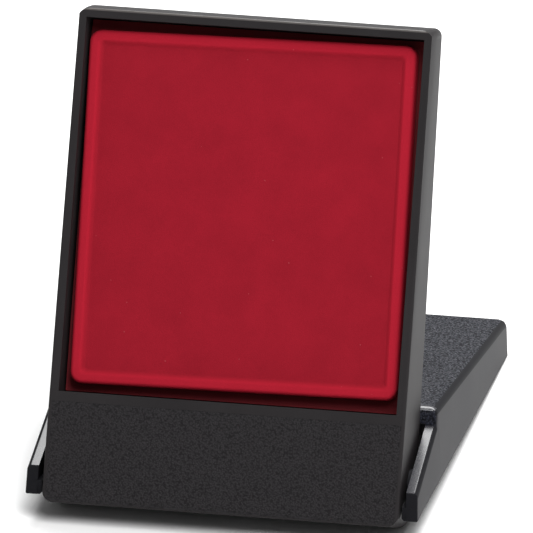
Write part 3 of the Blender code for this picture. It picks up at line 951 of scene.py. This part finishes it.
def make_lid_shell():
    far_up = lid_top(LID_LENGTH)
    points = [
        ((0.0, 0.0), RIM_EDGE_RADIUS, EAR_EDGE_RADIUS / 2),
        (EAR_TIP, EAR_EDGE_RADIUS / 2, EAR_FILLET),
        (END_WALL_FOOT, 0.0, EAR_EDGE_RADIUS),
        ((end_wall_along(CREST_UP), CREST_UP), END_WALL_RADIUS, LID_EDGE_RADIUS),
        ((far_wall_along(far_up), far_up), LID_FAR_RADIUS, LID_FAR_RADIUS),
        ((LID_LENGTH, 0.0), RIM_EDGE_RADIUS, RIM_EDGE_RADIUS),
    ]
    outline = [(*lid_point(*place), corner, side) for place, corner, side in points]
    shell = rounded_prism("lid_shell_detailed", outline, lid_half_width(), LID_DRAFT)
    settle(shell, Matrix.Identity(4))
    hollow_lid(shell)
    add_ear_details(shell)
    drill_pin_sockets(shell)
    divide_top(shell)
    shade(shell)
    settle(shell, LID_PLACE)
    inverse = LID_PLACE.inverted()

    def choose(center, normal):
        here = inverse @ center
        facing = inverse.to_3x3() @ normal
        along = here.y + PIVOT_ALONG
        up = here.z + PIVOT_UP
        if along < END_WALL_FOOT[0] and up < END_WALL_FOOT[1] + FIT_GAP:
            return ear_finish(abs(center.x), up, facing)
        behind_crest = along - end_wall_along(CREST_UP)
        near_crest = up > CREST_UP - END_WALL_RADIUS and behind_crest < POLISHED_STRIP
        if near_crest and facing.z > CREST_FACING:
            return BRIGHT
        outside = up > lid_top(along, LID_TOP_WALL) + FIT_GAP
        # The rounding between the top and the sides gets painted shade.
        if outside and leans_out(facing, SHOULDER_FACING):
            return DARK
        end_wall = along < end_wall_along(up) + FIT_GAP and facing.y < END_WALL_FACING
        return GRAINED if (outside and facing.z > TOP_FACING) or end_wall else SATIN

    paint(shell, (LID_SMOOTH, LID_GRAIN, LID_POLISHED, LID_PAINTED_SHADE), choose)
    return shell


def leans_out(facing, least):
    """Whether a normal points at least so far sideways and so far up."""
    sideways, up = least
    return abs(facing.x) > sideways and facing.z > up


def ear_finish(x, up, facing):
    """Bright along the slanted tops of the ears; painted shade round them, on their front ends and inside."""
    inside = lid_half_width(LID_SIDE_WALL)
    on_top = x > inside and up > EAR_TIP[1] / 2
    on_fillet = on_top and leans_out(facing, EAR_FILLET_FACING)
    if on_fillet or x < inside + FIT_GAP or facing.y < EAR_END_FACING:
        return DARK
    return BRIGHT if on_top and facing.z > EAR_TOP_FACING else SATIN


def divide_top(shell):
    """Divide the top along the polished strip behind the crest, so that the strip has its own faces."""
    builder = bmesh.new()
    builder.from_mesh(shell.data)
    along = end_wall_along(CREST_UP) + POLISHED_STRIP
    bmesh.ops.bisect_plane(
        builder,
        geom=builder.verts[:] + builder.edges[:] + builder.faces[:],
        plane_co=(0.0, *lid_point(along, 0.0)),
        plane_no=(0.0, 1.0, 0.0),
    )
    builder.to_mesh(shell.data)
    builder.free()


def hollow_lid(shell):
    foot_along, foot_up = END_WALL_FOOT
    inner_along = end_wall_along(foot_up, END_WALL_THICKNESS)
    crest = end_wall_under_top(END_WALL_THICKNESS, LID_TOP_WALL)
    far_up = lid_top(LID_LENGTH - LID_FAR_WALL, LID_TOP_WALL)
    points = [
        (-CUT_MARGIN, -CUT_MARGIN),
        (-CUT_MARGIN, foot_up + CUT_MARGIN),
        (foot_along - FIT_GAP, foot_up + CUT_MARGIN),
        (foot_along - FIT_GAP, foot_up + FIT_GAP),
        (inner_along, foot_up + FIT_GAP - WEDGE * (inner_along - foot_along)),
        crest,
        (far_wall_along(far_up, LID_FAR_WALL), far_up),
        (far_wall_along(-CUT_MARGIN, LID_FAR_WALL), -CUT_MARGIN),
    ]
    cut_prism(shell, lid_outline(points), lid_half_width(LID_SIDE_WALL), LID_DRAFT)


def add_ear_details(shell):
    nub_reach, nub_length, nub_height = EAR_NUB
    chamfer = nub_reach / 2
    inside = lid_half_width(LID_SIDE_WALL)
    embed = LID_SIDE_WALL / 2
    nub_outline = [
        (inside + embed, 0.0),
        (inside - nub_reach + chamfer, 0.0),
        (inside - nub_reach, chamfer),
        (inside - nub_reach, nub_height),
        (inside + embed, nub_height),
    ]
    for side in (-1, 1):
        nub = bmesh.new()
        ends = []
        for along in (NUB_SETBACK, nub_length):
            y, base = lid_point(along, 0.0)
            ends.append([nub.verts.new((side * x, y, base + up)) for x, up in nub_outline])
        skin(nub, ends)
        nub.faces.new(ends[0])
        nub.faces.new(ends[1])
        combine(shell, nub, "UNION")
        boss = bmesh.new()
        add_rod(boss, EAR_BOSS_RADIUS, side * (TRAY_WIDTH / 2 + FIT_GAP), side * (inside + embed))
        combine(shell, boss, "UNION")


def drill_pin_sockets(shell):
    for side in (-1, 1):
        builder = bmesh.new()
        floor = lid_half_width() - PIN_SOCKET_FLOOR
        add_rod(builder, PIN_HOLE_RADIUS, side * PIN_HEAD_RADIUS, side * floor)
        combine(shell, builder, "DIFFERENCE")


def lining_place(x, u, depth):
    closed_middle = (WELL_BOTTOM + WELL_TOP) / 2 - PIVOT_HEIGHT
    along = PIVOT_ALONG + closed_middle + u
    up = lid_top(along, LID_TOP_WALL + depth)
    return Vector((x, *lid_point(along, up)))


def make_lining(name, top, thickness, crown, finish):
    """A sheet with rounded edges, under the lid's top; its face waves gently by the crown."""
    edge = min(thickness / 2, LINING_EDGE_RADIUS)
    builder = bmesh.new()
    loops = []

    def ring(inset, depth, swell):
        half_x = LINING_HALF_WIDTH - inset
        half_u = LINING_HALF_LENGTH - inset
        radius = max(LINING_CORNER_RADIUS - inset, LINING_SMALLEST_RADIUS)
        loop = []
        for x, u in rounded_loop(half_x, half_u, radius, LINING_STRAIGHT_STEPS):
            bulge = swell * noise.noise(Vector((x, u, top)) * LINER_SWELL_SCALE)
            loop.append(builder.verts.new(lining_place(x, u, depth + bulge)))
        loops.append(loop)

    for step in range(LINING_EDGE_STEPS + 1):
        angle = math.pi / 2 * step / LINING_EDGE_STEPS
        ring(edge * (1 - math.sin(angle)), top + edge * (1 - math.cos(angle)), 0.0)
    for step in range(1, LINING_EDGE_STEPS + 1):
        angle = math.pi / 2 * step / LINING_EDGE_STEPS
        ring(edge * (1 - math.cos(angle)), top + thickness - edge * (1 - math.sin(angle)), 0.0)
    for step in range(1, LINING_RINGS + 1):
        ring(edge + step * LINING_RING_STEP, top + thickness, crown)
    skin(builder, loops)
    builder.faces.new(loops[0])
    builder.faces.new(loops[-1])
    sheet = new_object(name, builder)
    settle(sheet, LID_PLACE)
    sheet.data.shade_smooth()
    sheet.data.set_sharp_from_angle(angle=SHEET_SHARP_ANGLE)
    sheet.data.materials.append(finish)
    return sheet


# ---- pieces ----

tray_shell = make_tray_shell()
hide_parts("tray_shell")
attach(tray_shell, "tray")

flocked_insert = make_flocked_insert()
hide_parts("flocked_insert")
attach(flocked_insert, "tray")

lid_shell = make_lid_shell()
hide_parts("lid_shell")
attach(lid_shell, "lid")

lid_foam = make_lining("lid_foam_detailed", FIT_GAP, FOAM_THICKNESS, crown=0.0, finish=LID_FOAM)
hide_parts("lid_foam")
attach(lid_foam, "lid")

liner_top = FOAM_THICKNESS + 2 * FIT_GAP
lid_liner = make_lining(
    "lid_liner_detailed", liner_top, LINER_THICKNESS, crown=LINER_CROWN, finish=BLACK_FLOCK
)
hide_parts("lid_liner")
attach(lid_liner, "lid")


def finish_node(node, finish):
    piece = frame["nodes"][node]
    piece.data.materials.clear()
    piece.data.materials.append(finish)


finish_node("back_cover", COVER_GRAIN)
finish_node("insert_core", CORE_FOAM)
finish_node("hinge_pin_left", PIN_STEEL)
finish_node("hinge_pin_right", PIN_STEEL)


# ---- studio ----

FLOOR_HALF = 6.0
WORLD_STRENGTH = 0.2
CASE_MIDDLE = Vector((0.0, 0.0, 0.05))


def direction_to(azimuth, elevation):
    """The direction at an azimuth, counted from the front towards +X, and an elevation."""
    return Vector((
        math.sin(azimuth) * math.cos(elevation),
        -math.cos(azimuth) * math.cos(elevation),
        math.sin(elevation),
    ))


def make_floor():
    builder = bmesh.new()
    half = FLOOR_HALF
    corners = [(-half, -half, 0), (half, -half, 0), (half, half, 0), (-half, half, 0)]
    builder.faces.new([builder.verts.new(corner) for corner in corners])
    floor = new_object("studio_floor", builder)
    made, _, shader = node_material("studio_floor_white")
    shader.inputs["Base Color"].default_value = (0.93, 0.93, 0.93, 1)
    shader.inputs["Roughness"].default_value = 0.9
    shader.inputs["Specular IOR Level"].default_value = 0.1
    floor.data.materials.append(made)


def make_light(name, azimuth, elevation, distance, size, power):
    """A soft area light, placed by its direction seen from the case, in degrees."""
    data = bpy.data.lights.new(name, "AREA")
    data.shape = "RECTANGLE"
    data.size, data.size_y = size
    data.energy = power
    light = bpy.data.objects.new(name, data)
    bpy.context.scene.collection.objects.link(light)
    direction = direction_to(math.radians(azimuth), math.radians(elevation))
    light.location = CASE_MIDDLE + direction * distance
    light.rotation_euler = direction.to_track_quat("Z", "Y").to_euler()


def make_world():
    world = bpy.data.worlds.new("studio_world")
    world.use_nodes = True
    background = world.node_tree.nodes["Background"]
    background.inputs["Color"].default_value = (1.0, 1.0, 1.0, 1)
    background.inputs["Strength"].default_value = WORLD_STRENGTH
    bpy.context.scene.world = world


def make_camera():
    """A long lens a little to the viewer's right of the case and above it."""
    azimuth = math.radians(11.154)
    elevation = math.radians(22.225)
    roll = math.radians(-0.177)
    distance = 3.84
    field_width = 129.05 * MM
    target = Vector((-0.55 * MM, -0.08 * MM, 44.65 * MM))
    back = direction_to(azimuth, elevation)
    data = bpy.data.cameras.new("studio_camera")
    data.sensor_width = 36.0
    data.lens = data.sensor_width * distance / field_width
    data.clip_start = 0.5
    data.clip_end = 50.0
    camera = bpy.data.objects.new("studio_camera", data)
    bpy.context.scene.collection.objects.link(camera)
    place = Matrix.Translation(target + back * distance)
    turn = back.to_track_quat("Z", "Y").to_matrix().to_4x4()
    camera.matrix_world = place @ turn @ Matrix.Rotation(roll, 4, "Z")
    bpy.context.scene.camera = camera


make_floor()
make_world()
make_light("key_above", azimuth=32, elevation=54, distance=1.2, size=(0.7, 0.7), power=9.5)
make_light("grazing_top", azimuth=50, elevation=76, distance=1.2, size=(0.4, 0.4), power=5.0)
make_light("bright_behind", azimuth=176, elevation=50, distance=1.0, size=(0.9, 0.7), power=13.0)
make_camera()
bpy.context.scene.view_settings.view_transform = "Standard"
